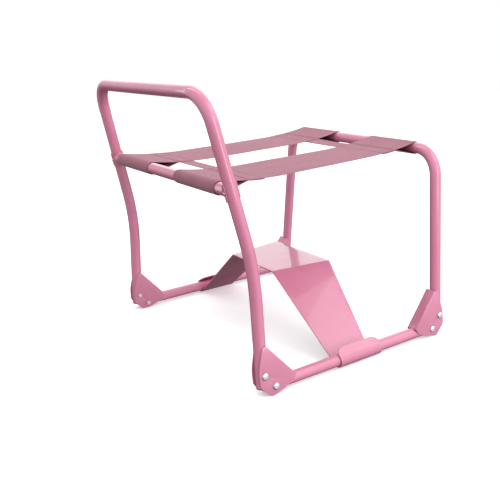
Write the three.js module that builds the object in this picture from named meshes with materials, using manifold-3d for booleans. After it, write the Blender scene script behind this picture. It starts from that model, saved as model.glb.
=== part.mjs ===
// Tube-frame stool: a tall hoop with a hand bar, a low hoop, two floor tubes, an elastic
// seat sling and a folded bridge plate that slides along the floor tubes.
// Millimetres, +X from the tall hoop to the low hoop, +Y across, +Z up, floor at Z = 0.

import * as THREE from "three";
import { mergeVertices } from "three/addons/utils/BufferGeometryUtils.js";
import Module from "manifold-3d";

const wasm = await Module();
wasm.setup();

// ---- Driving dimensions ------------------------------------------------------------

const GAP = 0.3; // clearance between touching pieces

const TUBE_RADIUS = 12.5;
const TUBE_WALL = 1.2;
const TUBE_SIDES = 20;
const BEND_STEP = THREE.MathUtils.degToRad(11); // largest turn between rings in a bend

const FLOOR_TUBE_Y = 308.5; // axis of each floor tube
const FLOOR_TUBE_Z = 16.5;
const FLOOR_TUBE_SETBACK = 15; // leg axis to the cut end of the floor tube
const SPLAY = 0.088; // inward lean of the legs, per unit of height
const FOOT_Z = 17; // cut lower end of each leg

const TALL_FOOT_X = -230.2;
const KNEE_X = -219.1;
const KNEE_Z = 254;
const KNEE_RADIUS = 600;
const HAND_BAR_X = -280.5;
const HAND_BAR_Z = 586.3;
const HAND_BAR_RADIUS = 62; // corner bends, on the centre line

const LOW_FOOT_X = 250.2;
const LOW_BAR_X = 276.6;
const LOW_BAR_Z = 417.5;
const LOW_BAR_RADIUS = 60;

const CROSSBAR_Z = 408.9;

const SHEET = 2; // gauge of the pressed corner brackets and saddles
const SADDLE_HEIGHT = 34;
const SADDLE_HALF_ANGLE = THREE.MathUtils.degToRad(102);
const SADDLE_SCREW_ANGLE = THREE.MathUtils.degToRad(82);

// Side outline of a corner bracket, x inboard from the leg's axis and z from the floor
// tube's axis. The web's outer face runs along the diagonal from the first point, the
// crown, to the second, the toe.
const BRACKET_OUTLINE = [
  { x: 10.5, z: 88, round: 5 },
  { x: 74, z: 12.5, round: 5 },
  { x: 67, z: -1, round: 8 },
  { x: 34, z: -13, round: 14 },
  { x: 13, z: -19.5, round: 4 },
  { x: -11.5, z: 6, round: 12 },
  { x: -11.5, z: 38, round: 20 },
  { x: 1, z: 86, round: 10 },
];
const CHANNEL_WIDTH = 2 * (TUBE_RADIUS + GAP + SHEET); // over both flanges
const NOTCH_RADIUS = TUBE_RADIUS + GAP - 0.05; // clears the tubes through a bracket's web

const BOLT_RADIUS = 3;
const BOLT_HEAD_RADIUS = 7.5;
const BOLT_HEAD_HEIGHT = 3.8;
const BOLT_TAIL = 7.5; // thread beyond the inner flange
const NUT_RADIUS = 5.8; // across the corners
const NUT_HEIGHT = 5;
const LEG_BOLT_HEIGHT = 27; // above the floor tube axis
const FLOOR_BOLT_INSET = 24; // inboard of the leg axis

const SCREW_RADIUS = 1.6;
const SCREW_HEAD_RADIUS = 3.4;
const SCREW_HEAD_HEIGHT = 1.8;
const SCREW_LENGTH = 6;

const PLUG_DEPTH = 14; // insert, inside the leg
const PLUG_LIP = 1.5; // thickness of the rim below the leg's cut end
const PLUG_LIP_BEVEL = 0.8;
const PLUG_LIP_INSET = 0.2; // rim radius, below the tube's

const STRAP_THICKNESS = 2.5;
const STRAP_INNER = 65; // half the gap between the two straps
const STRAP_OUTER_CROSSBAR = 237; // outer edges, from the middle of the sling
const STRAP_OUTER_LOW_BAR = 217.5;
const SLING_Y = 5.5; // middle of the sling across the seat
const LOOP_RADIUS = 13.4; // inside of the sewn loops
const LOOP_DROP = 0.5; // the loops hang this far below the bar centres
const LOOP_JOIN = 64; // bar centre to the end of the loop's throat
const BAND_START = 68; // cross band edges, from the bar centre
const BAND_WIDTH = 35;
const BAND_THICKNESS = 2;

const PLATE_THICKNESS = 2.2;
const PLATE_CLEARANCE = 1.5; // the hooks slide on the floor tubes
const PLATE_TOP_Z = 163.1;
const PLATE_FOLD_RADIUS = 6;
const PLATE_LEFT = { foldX: -51, foldY: 89, tubeX: -40, hookX: -40 };
const PLATE_RIGHT = { foldX: 96, foldY: 111, tubeX: 58, hookX: 72 };
const FLAP_LENGTH = 20; // from the hook around the tube to the free edge
const FLAP_CORNER = 18; // radius of the free edge's two corners
const FOLD_STEPS = 4; // panels around a fold
const WRAP_STEPS = 16; // panels around a hook
const FLAP_STEPS = 8; // panels along a flap's rounded corners

const WELD_DISTANCE = 1e-4;
const CORNER_STEPS = 4; // panels around a bracket's rounded corner
const LOOP_STEPS = 9; // panels around half of a strap's loop
const HOLE_SIDES = 12;
const BOLT_SIDES = 16;
const SCREW_SIDES = 12;
const DOME_STEPS = 4; // rings over a bolt's or screw's head
const CUT_REACH = 400; // longer than any piece a cutter passes through

// ---- Materials ---------------------------------------------------------------------

const paint = { color: 0xd9869f, roughness: 0.32, metalness: 0.0 };
const steel = { color: 0xd5d6d8, roughness: 0.25, metalness: 1.0 };
const webbing = { color: 0xc28d9b, roughness: 0.9, metalness: 0.0 };
const plastic = { color: 0x8a4a60, roughness: 0.6, metalness: 0.0 };

// ---- Solids ------------------------------------------------------------------------

// Turns a closed geometry into a solid for cutting and joining.
function toSolid(geometry) {
  const bare = geometry.clone();
  bare.deleteAttribute("normal");
  bare.deleteAttribute("uv");
  const merged = mergeVertices(bare, WELD_DISTANCE);
  const vertProperties = new Float32Array(merged.attributes.position.array);
  const triVerts = new Uint32Array(merged.index.array);
  return new wasm.Manifold(new wasm.Mesh({ numProp: 3, vertProperties, triVerts }));
}

function toGeometry(solid) {
  const mesh = solid.getMesh();
  const geometry = new THREE.BufferGeometry();
  geometry.setAttribute("position", new THREE.BufferAttribute(mesh.vertProperties, 3));
  geometry.setIndex(new THREE.BufferAttribute(mesh.triVerts, 1));
  geometry.computeVertexNormals();
  return geometry;
}

// Cuts a list of geometries out of one geometry.
function cutAway(geometry, cutters) {
  let solid = toSolid(geometry);
  for (const cutter of cutters) {
    solid = solid.subtract(toSolid(cutter));
  }
  return toGeometry(solid);
}

function circlePath(PathClass, radius) {
  const path = new PathClass();
  path.absarc(0, 0, radius, 0, 2 * Math.PI, false);
  return path;
}

function ringShape(outer, inner) {
  const shape = circlePath(THREE.Shape, outer);
  shape.holes.push(circlePath(THREE.Path, inner));
  return shape;
}

// A path given by its stations, so that an extrusion has one ring of points at each.
class StationPath extends THREE.Curve {
  constructor(stations) {
    super();
    this.stations = stations;
  }

  station(u) {
    return this.stations[Math.round(u * (this.stations.length - 1))];
  }

  getPoint(u, target = new THREE.Vector3()) {
    return target.copy(this.station(u).point);
  }

  getPointAt(u, target) {
    return this.getPoint(u, target);
  }

  getTangent(u, target = new THREE.Vector3()) {
    return target.copy(this.station(u).tangent);
  }

  getTangentAt(u, target) {
    return this.getTangent(u, target);
  }
}

// Stations along straight runs between corner points, with a round bend at each corner.
function bentStations(points, radii) {
  const first = new THREE.Vector3().subVectors(points[1], points[0]).normalize();
  const stations = [{ point: points[0], tangent: first }];
  for (let i = 1; i < points.length - 1; i++) {
    const before = new THREE.Vector3().subVectors(points[i], points[i - 1]).normalize();
    const after = new THREE.Vector3().subVectors(points[i + 1], points[i]).normalize();
    const turn = before.angleTo(after);
    const axis = new THREE.Vector3().crossVectors(before, after).normalize();
    const radius = radii[i - 1];
    const start = points[i].clone().addScaledVector(before, -radius * Math.tan(turn / 2));
    const toCentre = new THREE.Vector3().crossVectors(axis, before);
    const centre = start.clone().addScaledVector(toCentre, radius);
    const steps = Math.max(2, Math.ceil(turn / BEND_STEP));
    for (let k = 0; k <= steps; k++) {
      const angle = (turn * k) / steps;
      const arm = toCentre.clone().negate().multiplyScalar(radius).applyAxisAngle(axis, angle);
      const tangent = before.clone().applyAxisAngle(axis, angle);
      stations.push({ point: centre.clone().add(arm), tangent });
    }
  }
  const last = points.length - 1;
  const final = new THREE.Vector3().subVectors(points[last], points[last - 1]).normalize();
  stations.push({ point: points[last], tangent: final });
  return stations;
}

function tubeGeometry(stations) {
  return new THREE.ExtrudeGeometry(ringShape(TUBE_RADIUS, TUBE_RADIUS - TUBE_WALL), {
    steps: stations.length - 1,
    curveSegments: TUBE_SIDES / 2,
    extrudePath: new StationPath(stations),
    bevelEnabled: false,
  });
}

// ---- Positions on the frame --------------------------------------------------------

function legY(z) {
  return FLOOR_TUBE_Y - SPLAY * (z - FLOOR_TUBE_Z);
}

function tallLegPoint(side, z) {
  const x = TALL_FOOT_X + ((KNEE_X - TALL_FOOT_X) * z) / KNEE_Z;
  return new THREE.Vector3(x, side * legY(z), z);
}

function lowLegPoint(side, z) {
  const x = LOW_FOOT_X + ((LOW_BAR_X - LOW_FOOT_X) * z) / LOW_BAR_Z;
  return new THREE.Vector3(x, side * legY(z), z);
}

// Upper run of the tall hoop's leg, from the knee to the hand bar.
function upperLegPoint(side, z) {
  const share = (z - KNEE_Z) / (HAND_BAR_Z - KNEE_Z);
  const x = THREE.MathUtils.lerp(KNEE_X, HAND_BAR_X, share);
  return new THREE.Vector3(x, side * legY(z), z);
}

const CROSSBAR_X = upperLegPoint(1, CROSSBAR_Z).x;
const SLING_SPAN = Math.hypot(LOW_BAR_X - CROSSBAR_X, LOW_BAR_Z - CROSSBAR_Z);
const SLING_TILT = Math.atan2(LOW_BAR_Z - CROSSBAR_Z, LOW_BAR_X - CROSSBAR_X);
const LEAN = Math.atan(SPLAY);

// The frame of one foot corner: origin on the floor tube's axis below the leg, local Z
// leaning with the leg, inboard = +1 where the middle of the stool is towards +X.
function cornerMatrix(corner) {
  const matrix = new THREE.Matrix4().makeRotationX(corner.side * LEAN);
  matrix.setPosition(corner.footX, corner.side * FLOOR_TUBE_Y, FLOOR_TUBE_Z);
  return matrix;
}

const corners = [];
for (const side of [-1, 1]) {
  const name = side < 0 ? "near" : "far";
  const tallFootX = tallLegPoint(side, FLOOR_TUBE_Z).x;
  const lowFootX = lowLegPoint(side, FLOOR_TUBE_Z).x;
  corners.push({ name: `tall_${name}`, side, inboard: 1, footX: tallFootX, legPoint: tallLegPoint });
  corners.push({ name: `low_${name}`, side, inboard: -1, footX: lowFootX, legPoint: lowLegPoint });
}

// A matrix whose origin is a point and whose local Z is a direction.
function axisMatrix(point, direction) {
  const up = new THREE.Vector3(0, 0, 1);
  const turn = new THREE.Quaternion().setFromUnitVectors(up, direction.clone().normalize());
  return new THREE.Matrix4().compose(point, turn, new THREE.Vector3(1, 1, 1));
}

// Each bolt's frame: origin on the outer face of the outer flange, local Z outwards.
function boltMatrices(corner) {
  const place = cornerMatrix(corner);
  const flangeFace = TUBE_RADIUS + GAP + SHEET;
  const legZ = FLOOR_TUBE_Z + LEG_BOLT_HEIGHT;
  const legX = corner.legPoint(corner.side, legZ).x - corner.footX;
  const seats = [
    ["leg_bolt", legX, LEG_BOLT_HEIGHT],
    ["floor_bolt", corner.inboard * FLOOR_BOLT_INSET, 0],
  ];
  return seats.map(([kind, x, z]) => {
    const seat = new THREE.Vector3(x, corner.side * flangeFace, z).applyMatrix4(place);
    const outward = new THREE.Vector3(0, corner.side, 0).transformDirection(place);
    return { kind, matrix: axisMatrix(seat, outward) };
  });
}

// A round cutter centred on the origin of a frame, along its local Z.
function holeCutter(radius, length, sides, matrix) {
  const cutter = new THREE.CylinderGeometry(radius, radius, length, sides);
  return cutter.rotateX(Math.PI / 2).applyMatrix4(matrix);
}

function boltHole(matrix) {
  const middle = new THREE.Matrix4().makeTranslation(0, 0, -CHANNEL_WIDTH / 2);
  const length = CHANNEL_WIDTH + 2 * SHEET;
  return holeCutter(BOLT_RADIUS + GAP, length, HOLE_SIDES, middle.premultiply(matrix));
}

// Holes for one kind of bolt, at the corners that the filter picks.
function boltHoles(kind, filter) {
  const bolts = corners.filter(filter).flatMap((corner) => boltMatrices(corner));
  return bolts.filter((bolt) => bolt.kind === kind).map((bolt) => boltHole(bolt.matrix));
}

// The saddle's frame: origin on the leg's axis at the crossbar, local Z up the leg,
// local X towards the middle of the stool.
function saddleMatrix(side) {
  const origin = upperLegPoint(side, CROSSBAR_Z);
  const up = upperLegPoint(side, HAND_BAR_Z).sub(origin).normalize();
  const inward = new THREE.Vector3(0, -side, 0);
  inward.addScaledVector(up, -inward.dot(up)).normalize();
  const across = new THREE.Vector3().crossVectors(up, inward);
  return new THREE.Matrix4().makeBasis(inward, across, up).setPosition(origin);
}

// Frames of the two saddle screws on one leg, local Z pointing away from the leg's axis.
function saddleScrewMatrices(side) {
  const frame = saddleMatrix(side);
  return [-1, 1].map((wing) => {
    const angle = wing * SADDLE_SCREW_ANGLE;
    const direction = new THREE.Vector3(Math.cos(angle), Math.sin(angle), 0);
    const seat = direction.clone().multiplyScalar(TUBE_RADIUS + GAP + SHEET);
    return axisMatrix(seat.applyMatrix4(frame), direction.transformDirection(frame));
  });
}

function saddleScrewHoles(side) {
  const length = 2 * SCREW_LENGTH;
  return saddleScrewMatrices(side).map((matrix) => (
    holeCutter(SCREW_RADIUS + GAP, length, HOLE_SIDES, matrix)));
}

// The seat sling's frame: origin on the crossbar's axis, local X to the low bar's axis.
function slingMatrix() {
  const matrix = new THREE.Matrix4().makeRotationY(-SLING_TILT);
  return matrix.setPosition(CROSSBAR_X, 0, CROSSBAR_Z);
}

// ---- Sub-parts ---------------------------------------------------------------------

function tallHoopGeometry() {
  const points = [];
  const handCorner = (side) => new THREE.Vector3(HAND_BAR_X, side * legY(HAND_BAR_Z), HAND_BAR_Z);
  points.push(tallLegPoint(-1, FOOT_Z), tallLegPoint(-1, KNEE_Z), handCorner(-1));
  points.push(handCorner(1), tallLegPoint(1, KNEE_Z), tallLegPoint(1, FOOT_Z));
  const radii = [KNEE_RADIUS, HAND_BAR_RADIUS, HAND_BAR_RADIUS, KNEE_RADIUS];
  const holes = boltHoles("leg_bolt", (corner) => corner.inboard > 0);
  holes.push(...saddleScrewHoles(-1), ...saddleScrewHoles(1));
  return cutAway(tubeGeometry(bentStations(points, radii)), holes);
}

function lowHoopGeometry() {
  const points = [
    lowLegPoint(-1, FOOT_Z),
    lowLegPoint(-1, LOW_BAR_Z),
    lowLegPoint(1, LOW_BAR_Z),
    lowLegPoint(1, FOOT_Z),
  ];
  const holes = boltHoles("leg_bolt", (corner) => corner.inboard < 0);
  const stations = bentStations(points, [LOW_BAR_RADIUS, LOW_BAR_RADIUS]);
  return cutAway(tubeGeometry(stations), holes);
}

function straightTube(start, end) {
  return tubeGeometry(bentStations([start, end], []));
}

function floorTubeGeometry(side) {
  const tallEnd = tallLegPoint(side, FLOOR_TUBE_Z).x + FLOOR_TUBE_SETBACK;
  const lowEnd = lowLegPoint(side, FLOOR_TUBE_Z).x - FLOOR_TUBE_SETBACK;
  const start = new THREE.Vector3(tallEnd, side * FLOOR_TUBE_Y, FLOOR_TUBE_Z);
  const end = new THREE.Vector3(lowEnd, side * FLOOR_TUBE_Y, FLOOR_TUBE_Z);
  const holes = boltHoles("floor_bolt", (corner) => corner.side === side);
  return cutAway(straightTube(start, end), holes);
}

// The crossbar's ends are coped to lie against the saddles.
function crossbarGeometry() {
  const ends = [-1, 1].map((side) => upperLegPoint(side, CROSSBAR_Z));
  const copeRadius = TUBE_RADIUS + GAP + SHEET + GAP;
  const copes = [-1, 1].map((side) => (
    holeCutter(copeRadius, 2 * SADDLE_HEIGHT, 2 * TUBE_SIDES, saddleMatrix(side))));
  return cutAway(straightTube(ends[0], ends[1]), copes);
}

// A curved plate that wraps the inner half of the leg, screwed through both wings.
function saddleGeometry(side) {
  const inner = TUBE_RADIUS + GAP;
  const shape = new THREE.Shape();
  shape.absarc(0, 0, inner + SHEET, -SADDLE_HALF_ANGLE, SADDLE_HALF_ANGLE, false);
  shape.absarc(0, 0, inner, SADDLE_HALF_ANGLE, -SADDLE_HALF_ANGLE, true);
  shape.closePath();
  const plate = new THREE.ExtrudeGeometry(shape, {
    depth: SADDLE_HEIGHT,
    bevelEnabled: false,
  });
  plate.translate(0, 0, -SADDLE_HEIGHT / 2);
  const toLocal = saddleMatrix(side).invert();
  return cutAway(plate, saddleScrewHoles(side).map((hole) => hole.applyMatrix4(toLocal)));
}

// A closed outline through corner points, each corner rounded by a quadratic arc.
function roundedShape(outline) {
  const shape = new THREE.Shape();
  const count = outline.length;
  outline.forEach((corner, i) => {
    const here = new THREE.Vector2(corner.x, corner.z);
    const before = outline[(i + count - 1) % count];
    const after = outline[(i + 1) % count];
    const back = new THREE.Vector2(before.x, before.z).sub(here).normalize();
    const ahead = new THREE.Vector2(after.x, after.z).sub(here).normalize();
    const start = here.clone().addScaledVector(back, corner.round / 2);
    const end = here.clone().addScaledVector(ahead, corner.round / 2);
    if (i === 0) {
      shape.moveTo(start.x, start.y);
    } else {
      shape.lineTo(start.x, start.y);
    }
    shape.quadraticCurveTo(here.x, here.y, end.x, end.y);
  });
  shape.closePath();
  return shape;
}

// Extrudes an outline drawn in X and Z by a width centred on Y = 0.
function extrudeAcross(shape, width, curveSegments) {
  const solid = new THREE.ExtrudeGeometry(shape, { depth: width, curveSegments, bevelEnabled: false });
  solid.rotateX(Math.PI / 2);
  solid.translate(0, width / 2, 0);
  return solid;
}

// A U-channel: two flanges either side of the tubes, joined by the web on the diagonal.
function bracketGeometry(corner) {
  const crown = new THREE.Vector2(BRACKET_OUTLINE[0].x, BRACKET_OUTLINE[0].z);
  const toe = new THREE.Vector2(BRACKET_OUTLINE[1].x, BRACKET_OUTLINE[1].z);
  const along = toe.clone().sub(crown).normalize();
  const intoChannel = new THREE.Vector2(along.y, -along.x);
  const inset = crown.clone().addScaledVector(intoChannel, SHEET);
  const first = inset.clone().addScaledVector(along, -CUT_REACH);
  const second = inset.clone().addScaledVector(along, CUT_REACH);
  const third = second.clone().addScaledVector(intoChannel, CUT_REACH);
  const fourth = first.clone().addScaledVector(intoChannel, CUT_REACH);
  const pocket = new THREE.Shape([first, second, third, fourth]);

  const body = extrudeAcross(roundedShape(BRACKET_OUTLINE), CHANNEL_WIDTH, CORNER_STEPS);
  const hollow = extrudeAcross(pocket, CHANNEL_WIDTH - 2 * SHEET, 1);
  if (corner.inboard < 0) {
    body.rotateZ(Math.PI);
    hollow.rotateZ(Math.PI);
  }
  const toLocal = cornerMatrix(corner).invert();
  const holes = boltMatrices(corner).map((bolt) => boltHole(bolt.matrix).applyMatrix4(toLocal));
  const floor = new THREE.BoxGeometry(CUT_REACH, CUT_REACH, CUT_REACH);
  floor.translate(corner.footX, corner.side * FLOOR_TUBE_Y, -CUT_REACH / 2);
  const foot = corner.legPoint(corner.side, 0);
  const upLeg = corner.legPoint(corner.side, FLOOR_TUBE_Z).sub(foot);
  const tube = new THREE.Vector3(0, corner.side * FLOOR_TUBE_Y, FLOOR_TUBE_Z);
  const alongTube = new THREE.Vector3(1, 0, 0);
  const notches = [axisMatrix(foot, upLeg), axisMatrix(tube, alongTube)].map((matrix) => (
    holeCutter(NOTCH_RADIUS, 2 * CUT_REACH, 2 * TUBE_SIDES, matrix)));
  const cutters = [floor, ...notches].map((cutter) => cutter.applyMatrix4(toLocal));
  return cutAway(body, [hollow, ...holes, ...cutters]);
}

// Profile of a bolt or screw, its head's seat a clearance above the origin.
function domedProfile(headRadius, headHeight, shankRadius, length) {
  const profile = [new THREE.Vector2(0, -length), new THREE.Vector2(shankRadius, -length)];
  profile.push(new THREE.Vector2(shankRadius, GAP), new THREE.Vector2(headRadius, GAP));
  for (let k = 1; k < DOME_STEPS; k++) {
    const angle = (Math.PI / 2) * (k / DOME_STEPS);
    const height = GAP + headHeight * Math.sin(angle);
    profile.push(new THREE.Vector2(headRadius * Math.cos(angle), height));
  }
  profile.push(new THREE.Vector2(0, GAP + headHeight));
  return profile;
}

function boltGeometry() {
  const length = CHANNEL_WIDTH + BOLT_TAIL;
  const profile = domedProfile(BOLT_HEAD_RADIUS, BOLT_HEAD_HEIGHT, BOLT_RADIUS, length);
  return new THREE.LatheGeometry(profile, BOLT_SIDES).rotateX(Math.PI / 2);
}

function screwGeometry() {
  const profile = domedProfile(SCREW_HEAD_RADIUS, SCREW_HEAD_HEIGHT, SCREW_RADIUS, SCREW_LENGTH);
  return new THREE.LatheGeometry(profile, SCREW_SIDES).rotateX(Math.PI / 2);
}

function nutGeometry() {
  const shape = new THREE.Shape();
  const hexagon = [];
  for (let k = 0; k < 6; k++) {
    const angle = (Math.PI / 3) * k;
    hexagon.push(new THREE.Vector2(NUT_RADIUS * Math.cos(angle), NUT_RADIUS * Math.sin(angle)));
  }
  shape.setFromPoints(hexagon);
  shape.holes.push(circlePath(THREE.Path, BOLT_RADIUS + GAP));
  const nut = new THREE.ExtrudeGeometry(shape, {
    depth: NUT_HEIGHT,
    curveSegments: HOLE_SIDES / 2,
    bevelEnabled: false,
  });
  return nut.translate(0, 0, -CHANNEL_WIDTH - GAP - NUT_HEIGHT);
}

// Plastic plug in the cut end of a leg.
function plugGeometry() {
  const insert = TUBE_RADIUS - TUBE_WALL - GAP;
  const rim = TUBE_RADIUS - PLUG_LIP_INSET;
  const profile = [
    new THREE.Vector2(0, -PLUG_LIP - GAP),
    new THREE.Vector2(rim - PLUG_LIP_BEVEL, -PLUG_LIP - GAP),
    new THREE.Vector2(rim, -GAP),
    new THREE.Vector2(insert, -GAP),
    new THREE.Vector2(insert, PLUG_DEPTH),
    new THREE.Vector2(0, PLUG_DEPTH),
  ];
  return new THREE.LatheGeometry(profile, TUBE_SIDES).rotateX(Math.PI / 2);
}

// ---- Seat sling --------------------------------------------------------------------

// The angle at which a line from a point on the band touches a loop's circle.
function touchAngle(radius, join, height, side) {
  const rise = height + LOOP_DROP;
  return Math.atan2(rise, join) + side * Math.acos(radius / Math.hypot(join, rise));
}

// Lengthwise section of a strap: a flat band with a teardrop loop around each bar.
function strapSection() {
  const half = STRAP_THICKNESS / 2;
  const outer = LOOP_RADIUS + STRAP_THICKNESS;
  const top = touchAngle(outer, LOOP_JOIN, half, 1);
  const bottom = touchAngle(outer, LOOP_JOIN, -half, -1);
  const shape = new THREE.Shape();
  shape.absarc(0, -LOOP_DROP, outer, top, 2 * Math.PI + bottom, false);
  shape.lineTo(LOOP_JOIN, -half);
  shape.lineTo(SLING_SPAN - LOOP_JOIN, -half);
  shape.absarc(SLING_SPAN, -LOOP_DROP, outer, Math.PI - bottom, 3 * Math.PI - top, false);
  shape.lineTo(SLING_SPAN - LOOP_JOIN, half);
  shape.lineTo(LOOP_JOIN, half);
  shape.closePath();

  const throat = LOOP_JOIN - STRAP_THICKNESS;
  const rimTop = touchAngle(LOOP_RADIUS, throat, 0, 1);
  const rimBottom = touchAngle(LOOP_RADIUS, throat, 0, -1);
  const crossbarHole = new THREE.Path();
  crossbarHole.absarc(0, -LOOP_DROP, LOOP_RADIUS, rimTop, 2 * Math.PI + rimBottom, false);
  crossbarHole.lineTo(throat, 0);
  crossbarHole.closePath();
  const lowBarHole = new THREE.Path();
  lowBarHole.absarc(SLING_SPAN, -LOOP_DROP, LOOP_RADIUS, Math.PI - rimTop, -Math.PI - rimBottom, true);
  lowBarHole.lineTo(SLING_SPAN - throat, 0);
  lowBarHole.closePath();
  shape.holes.push(crossbarHole, lowBarHole);
  return shape;
}

// Half the sling's width at a distance from the crossbar.
function slingHalfWidth(distance) {
  const share = THREE.MathUtils.clamp(distance / SLING_SPAN, 0, 1);
  return THREE.MathUtils.lerp(STRAP_OUTER_CROSSBAR, STRAP_OUTER_LOW_BAR, share);
}

function strapGeometry(side) {
  const strap = extrudeAcross(strapSection(), 1, LOOP_STEPS);
  const position = strap.attributes.position;
  for (let i = 0; i < position.count; i++) {
    const outer = slingHalfWidth(position.getX(i));
    const start = side > 0 ? STRAP_INNER : -outer;
    position.setY(i, SLING_Y + start + (position.getY(i) + 0.5) * (outer - STRAP_INNER));
  }
  return strap;
}

// A narrow band sewn under both straps, beside a loop's throat.
function crossBandGeometry(distance) {
  const length = 2 * slingHalfWidth(distance);
  const band = new THREE.BoxGeometry(BAND_WIDTH, length, BAND_THICKNESS);
  const drop = STRAP_THICKNESS / 2 + GAP + BAND_THICKNESS / 2;
  return band.translate(distance, SLING_Y, -drop);
}

// ---- Bridge plate ------------------------------------------------------------------

// One edge of the plate's middle surface on the +Y side: the top fold, the slope, the hook
// under the tube and the flap back up, parallel to the slope. Each station has its place
// and its upper side's direction.
function plateRail(edge) {
  const radius = TUBE_RADIUS + PLATE_CLEARANCE + PLATE_THICKNESS / 2;
  const foldZ = PLATE_TOP_Z - PLATE_THICKNESS / 2;
  const dy = edge.foldY - FLOOR_TUBE_Y;
  const dz = foldZ - FLOOR_TUBE_Z;
  const touch = Math.atan2(dz, dy) + Math.acos(radius / Math.hypot(dy, dz));
  const fall = 2 * Math.PI - (touch + Math.PI / 2);
  const tangentLength = PLATE_FOLD_RADIUS * Math.tan(fall / 2);
  const stations = [];
  for (let k = 0; k <= FOLD_STEPS; k++) {
    const angle = (fall * k) / FOLD_STEPS;
    const y = edge.foldY - tangentLength + PLATE_FOLD_RADIUS * Math.sin(angle);
    const z = foldZ - PLATE_FOLD_RADIUS * (1 - Math.cos(angle));
    stations.push({ x: edge.foldX, y, z, upY: Math.sin(angle), upZ: Math.cos(angle) });
  }
  const outwards = Math.sign(edge.foldX);
  for (let k = 0; k <= WRAP_STEPS; k++) {
    const angle = touch + (Math.PI * k) / WRAP_STEPS;
    const widen = Math.min(1, (2 * k) / WRAP_STEPS);
    const x = THREE.MathUtils.lerp(edge.tubeX, edge.hookX, widen);
    const y = FLOOR_TUBE_Y + radius * Math.cos(angle);
    const z = FLOOR_TUBE_Z + radius * Math.sin(angle);
    stations.push({ x, y, z, upY: -Math.cos(angle), upZ: -Math.sin(angle) });
  }
  const hookEnd = stations[stations.length - 1];
  for (let k = 1; k <= FLAP_STEPS; k++) {
    const turn = (Math.PI / 2) * (k / FLAP_STEPS);
    const along = FLAP_LENGTH - FLAP_CORNER * (1 - Math.sin(turn));
    stations.push({
      x: edge.hookX - outwards * FLAP_CORNER * (1 - Math.cos(turn)),
      y: hookEnd.y + along * hookEnd.upZ,
      z: hookEnd.z - along * hookEnd.upY,
      upY: hookEnd.upY,
      upZ: hookEnd.upZ,
    });
  }
  return stations;
}

// The whole edge, from the free edge on the -Y side to the one on the +Y side.
function fullRail(edge) {
  const far = plateRail(edge);
  const near = far.map((s) => ({ ...s, y: -s.y, upY: -s.upY })).reverse();
  return [...near, ...far];
}

// A sheet of even gauge between two rails.
function sheetGeometry(leftRail, rightRail, thickness) {
  const vertices = [];
  const half = thickness / 2;
  for (let i = 0; i < leftRail.length; i++) {
    for (const [rail, face] of [[leftRail, 1], [rightRail, 1], [leftRail, -1], [rightRail, -1]]) {
      const s = rail[i];
      vertices.push(s.x, s.y + face * half * s.upY, s.z + face * half * s.upZ);
    }
  }
  const indices = [];
  const quad = (a, b, c, d) => indices.push(a, b, c, a, c, d);
  for (let i = 0; i < leftRail.length - 1; i++) {
    const [a, b, c, d] = [4 * i, 4 * i + 1, 4 * i + 2, 4 * i + 3];
    quad(a, b, b + 4, a + 4);
    quad(c, c + 4, d + 4, d);
    quad(a, a + 4, c + 4, c);
    quad(b, d, d + 4, b + 4);
  }
  const last = 4 * (leftRail.length - 1);
  quad(0, 2, 3, 1);
  quad(last, last + 1, last + 3, last + 2);
  const geometry = new THREE.BufferGeometry();
  geometry.setAttribute("position", new THREE.Float32BufferAttribute(vertices, 3));
  geometry.setIndex(indices);
  geometry.computeVertexNormals();
  return geometry;
}

// ---- Assembly ----------------------------------------------------------------------

const stool = new THREE.Group();

function addMesh(name, geometry, look, matrix = new THREE.Matrix4()) {
  const mesh = new THREE.Mesh(geometry, new THREE.MeshStandardMaterial(look));
  mesh.name = name;
  mesh.applyMatrix4(matrix);
  stool.add(mesh);
}

addMesh("tall_hoop", tallHoopGeometry(), paint);
addMesh("low_hoop", lowHoopGeometry(), paint);
addMesh("crossbar", crossbarGeometry(), paint);

for (const side of [-1, 1]) {
  const name = side < 0 ? "near" : "far";
  addMesh(`floor_tube_${name}`, floorTubeGeometry(side), paint);
  addMesh(`crossbar_saddle_${name}`, saddleGeometry(side), paint, saddleMatrix(side));
  saddleScrewMatrices(side).forEach((matrix, i) => {
    addMesh(`saddle_screw_${name}_${i + 1}`, screwGeometry(), steel, matrix);
  });
  addMesh(`strap_${name}`, strapGeometry(side), webbing, slingMatrix());
}

for (const corner of corners) {
  addMesh(`bracket_${corner.name}`, bracketGeometry(corner), paint, cornerMatrix(corner));
  for (const bolt of boltMatrices(corner)) {
    addMesh(`${bolt.kind}_${corner.name}`, boltGeometry(), steel, bolt.matrix);
    addMesh(`${bolt.kind}_nut_${corner.name}`, nutGeometry(), steel, bolt.matrix);
  }
  const foot = corner.legPoint(corner.side, FOOT_Z);
  const upLeg = corner.legPoint(corner.side, KNEE_Z).sub(foot);
  addMesh(`leg_plug_${corner.name}`, plugGeometry(), plastic, axisMatrix(foot, upLeg));
}

const bandMiddle = BAND_START + BAND_WIDTH / 2;
addMesh("cross_band_tall", crossBandGeometry(bandMiddle), webbing, slingMatrix());
addMesh("cross_band_low", crossBandGeometry(SLING_SPAN - bandMiddle), webbing, slingMatrix());

const plate = sheetGeometry(fullRail(PLATE_LEFT), fullRail(PLATE_RIGHT), PLATE_THICKNESS);
addMesh("bridge_plate", plate, paint);

export default stool;
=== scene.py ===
"""Visual model of the tube-frame stool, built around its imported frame.

Metres, in the frame of the CAD: +X from the tall hoop to the low hoop, +Z up.
Near is the -Y side, far the +Y side.
"""

import math

import bmesh
import bpy
import numpy as np
from mathutils import Matrix, Vector, noise


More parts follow.
